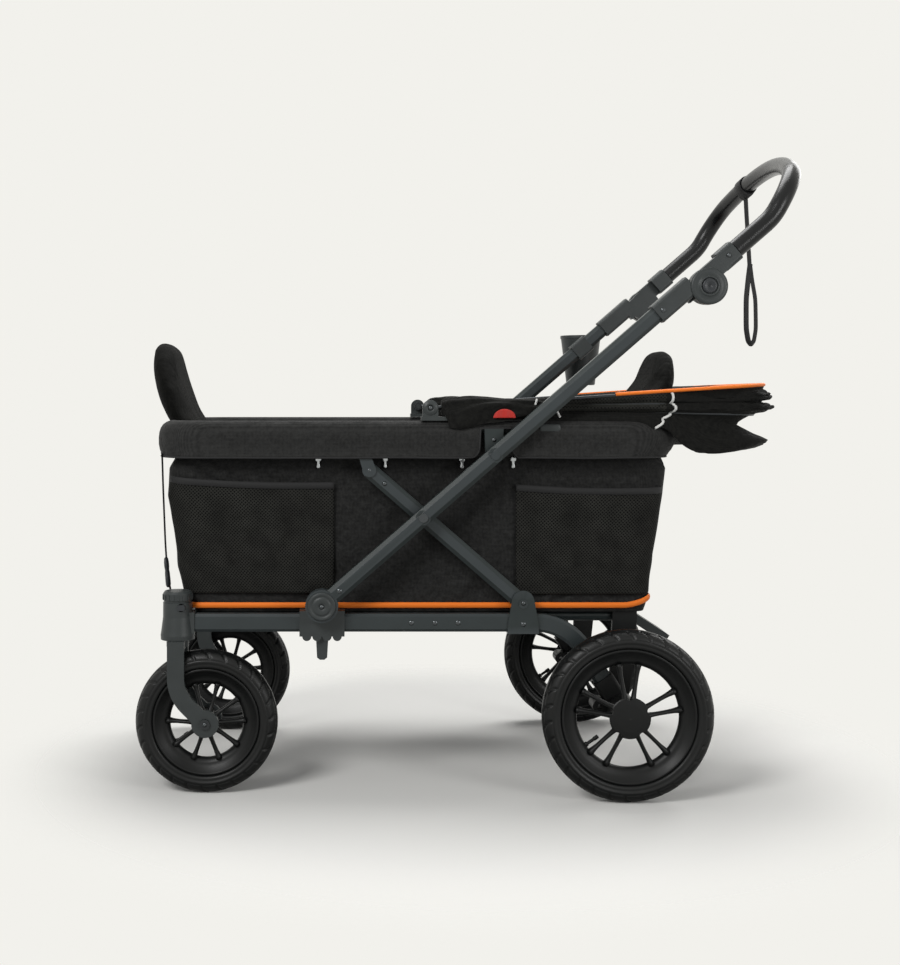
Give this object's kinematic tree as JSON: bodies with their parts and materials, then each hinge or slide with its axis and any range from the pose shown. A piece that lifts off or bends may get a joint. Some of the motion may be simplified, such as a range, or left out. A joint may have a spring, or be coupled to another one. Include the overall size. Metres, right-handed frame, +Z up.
{
  "type": "stroller wagon",
  "caption": "Folding stroller wagon with a fabric basket on a scissor frame, swivel front casters, large rear wheels, rear-folded canopy and a tilting U-shaped push handle.",
  "frame": {"origin": "middle of the bounding box's underside, on the ground", "axes": "+Z up, -X the way the wagon is pushed, +X towards the push handle, +Y the side with the cup holder"},
  "size_m": [1.2164, 0.6874, 1.1644],
  "materials": {
    "frame_tube": "satin powder coat",
    "moulded": "fine moulded texture",
    "button": "smooth moulded",
    "wheel": "moulded nylon, satin",
    "tyre": "matte rubber",
    "steel": "bright zinc",
    "rivet": "dark domed heads",
    "cloth": "coarse woven polyester",
    "mesh": "open hexagonal net",
    "piping": "smooth braided edging",
    "padding": "padded woven polyester",
    "webbing": "ribbed webbing",
    "board": "raw fibreboard",
    "grip": "soft grained leatherette",
    "bow": "dark flat spring steel"
  },
  "bodies": {
    "chassis": {"side_rails": "frame_tube", "front_cross_tube": "frame_tube", "caster_housings": "moulded", "rear_axle": "steel", "rear_axle_beam": "frame_tube", "rear_hub_blocks": "moulded", "tray_frame": "frame_tube", "floor_board": "board", "pivot_brackets": "frame_tube", "chassis_rivets": "rivet", "basket_shell": "cloth", "mesh_pockets": "mesh", "basket_piping": "piping", "seat_cushions": "padding", "tie_straps": "webbing"},
    "swivel_button_l": {"swivel_button_l": "button"},
    "swivel_button_r": {"swivel_button_r": "button"},
    "caster_l": {"caster_fork_l": "moulded", "front_axle_l": "steel"},
    "caster_r": {"caster_fork_r": "moulded", "front_axle_r": "steel"},
    "front_wheel_l": {"front_rim_l": "wheel", "front_tyre_l": "tyre"},
    "front_wheel_r": {"front_rim_r": "wheel", "front_tyre_r": "tyre"},
    "rear_wheel_l": {"rear_rim_l": "wheel", "rear_tyre_l": "tyre", "rear_hub_cap_l": "moulded"},
    "rear_wheel_r": {"rear_rim_r": "wheel", "rear_tyre_r": "tyre", "rear_hub_cap_r": "moulded"},
    "brake": {"brake_pedal": "moulded"},
    "braces": {"cross_braces": "frame_tube", "scissor_pins": "rivet"},
    "push_frame": {"push_tubes": "frame_tube", "push_rivets": "rivet", "handle_sockets": "moulded", "cup_holder": "moulded"},
    "sliders": {"slider_blocks": "moulded"},
    "latch_l": {"latch_lever_l": "moulded"},
    "latch_r": {"latch_lever_r": "moulded"},
    "links": {"rim_links": "frame_tube"},
    "rim": {"rim_frame": "frame_tube", "rim_cover": "cloth", "rim_brackets": "frame_tube", "canopy_mounts": "moulded", "seat_backs": "padding", "canopy_panel_rear": "cloth"},
    "handle": {"handle_bar": "frame_tube", "handle_grip": "grip", "handle_knuckles": "moulded"},
    "handle_button_l": {"handle_button_l": "button"},
    "handle_button_r": {"handle_button_r": "button"},
    "strap": {"wrist_strap": "webbing"},
    "bow_rear": {"bow_rear": "bow"},
    "bow_mid": {"bow_mid": "bow", "canopy_panel_mid": "cloth"},
    "bow_front": {"bow_front": "bow", "canopy_panel_front": "cloth"}
  },
  "joints": [
    {"name": "fold", "type": "hinge", "parent": "chassis", "child": "braces", "pos_m": [0.08264, -0.022, 0.336], "axis": [0, -1, 0], "range_deg": [0, 33], "deforming": ["basket_shell", "mesh_pockets", "tie_straps"]},
    {"name": "push_fold", "type": "hinge", "parent": "braces", "child": "push_frame", "pos_m": [-0.09622, -0.022, 0.49149], "axis": [0, -1, 0], "range_deg": [-66, 0]},
    {"name": "slider_level", "type": "hinge", "parent": "push_frame", "child": "sliders", "pos_m": [-0.27509, -0.022, 0.336], "axis": [0, -1, 0], "range_deg": [0, 33]},
    {"name": "rim_level", "type": "hinge", "parent": "push_frame", "child": "rim", "pos_m": [0.03042, -0.022, 0.60157], "axis": [0, -1, 0], "range_deg": [0, 33]},
    {"name": "link_swing", "type": "hinge", "parent": "braces", "child": "links", "pos_m": [-0.19079, -0.022, 0.57369], "axis": [0, -1, 0], "range_deg": [-105.23, 0]},
    {"name": "handle_tilt", "type": "hinge", "parent": "push_frame", "child": "handle", "pos_m": [0.40493, -0.022, 0.89904], "axis": [0, -1, 0], "range_deg": [-45, 10]},
    {"name": "handle_press_l", "type": "slide", "parent": "handle", "child": "handle_button_l", "axis": [0, 1, 0], "range_m": [0, 0.004], "stiffness_N_per_m": 900},
    {"name": "handle_press_r", "type": "slide", "parent": "handle", "child": "handle_button_r", "axis": [0, -1, 0], "range_m": [0, 0.004], "stiffness_N_per_m": 900},
    {"name": "strap_swing", "type": "hinge", "parent": "handle", "child": "strap", "pos_m": [0.58421, 0.103, 1.13462], "axis": [0.1184, -0.9707, 0.2092], "range_deg": [-10, 45]},
    {"name": "swivel_l", "type": "hinge", "parent": "chassis", "child": "caster_l", "pos_m": [-0.53322, -0.254, 0.2723], "axis": [0, 0, 1], "continuous": true},
    {"name": "swivel_r", "type": "hinge", "parent": "chassis", "child": "caster_r", "pos_m": [-0.53322, 0.21, 0.2723], "axis": [0, 0, 1], "continuous": true},
    {"name": "swivel_lock_l", "type": "slide", "parent": "chassis", "child": "swivel_button_l", "axis": [0, 1, 0], "range_m": [0, 0.003], "stiffness_N_per_m": 900},
    {"name": "swivel_lock_r", "type": "slide", "parent": "chassis", "child": "swivel_button_r", "axis": [0, -1, 0], "range_m": [0, 0.003], "stiffness_N_per_m": 900},
    {"name": "front_spin_l", "type": "hinge", "parent": "caster_l", "child": "front_wheel_l", "pos_m": [-0.48122, -0.254, 0.127], "axis": [0, -1, 0], "continuous": true},
    {"name": "front_spin_r", "type": "hinge", "parent": "caster_r", "child": "front_wheel_r", "pos_m": [-0.48122, 0.21, 0.127], "axis": [0, -1, 0], "continuous": true},
    {"name": "rear_spin_l", "type": "hinge", "parent": "chassis", "child": "rear_wheel_l", "pos_m": [0.25822, -0.317, 0.15], "axis": [0, -1, 0], "continuous": true},
    {"name": "rear_spin_r", "type": "hinge", "parent": "chassis", "child": "rear_wheel_r", "pos_m": [0.25822, 0.273, 0.15], "axis": [0, -1, 0], "continuous": true},
    {"name": "brake_press", "type": "hinge", "parent": "chassis", "child": "brake", "pos_m": [0.27822, -0.022, 0.3081], "axis": [0, 1, 0], "range_deg": [0, 16]},
    {"name": "latch_squeeze_l", "type": "hinge", "parent": "sliders", "child": "latch_l", "pos_m": [-0.27509, -0.254, 0.277], "axis": [0, -1, 0], "range_deg": [0, 18], "stiffness_Nm_per_rad": 1.2},
    {"name": "latch_squeeze_r", "type": "hinge", "parent": "sliders", "child": "latch_r", "pos_m": [-0.27509, 0.21, 0.277], "axis": [0, -1, 0], "range_deg": [0, 18], "stiffness_Nm_per_rad": 1.2},
    {"name": "canopy_open", "type": "hinge", "parent": "rim", "child": "bow_rear", "pos_m": [-0.08222, -0.022, 0.685], "axis": [0, -1, 0], "range_deg": [0, 22]},
    {"name": "canopy_mid", "type": "hinge", "parent": "bow_rear", "child": "bow_mid", "pos_m": [-0.08222, -0.022, 0.685], "axis": [0, -1, 0], "range_deg": [0, 44]},
    {"name": "canopy_front", "type": "hinge", "parent": "bow_mid", "child": "bow_front", "pos_m": [-0.08222, -0.022, 0.685], "axis": [0, -1, 0], "range_deg": [0, 44]}
  ],
  "couplings": [
    {"joint": "push_fold", "follows": "fold", "ratio": -2},
    {"joint": "slider_level", "follows": "fold", "ratio": 1},
    {"joint": "rim_level", "follows": "fold", "ratio": 1},
    {"joint": "link_swing", "follows": "fold", "ratio": -3.1884},
    {"joint": "strap_swing", "follows": "handle_tilt", "ratio": -1},
    {"joint": "canopy_mid", "follows": "canopy_open", "ratio": 2},
    {"joint": "canopy_front", "follows": "canopy_open", "ratio": 2}
  ]
}
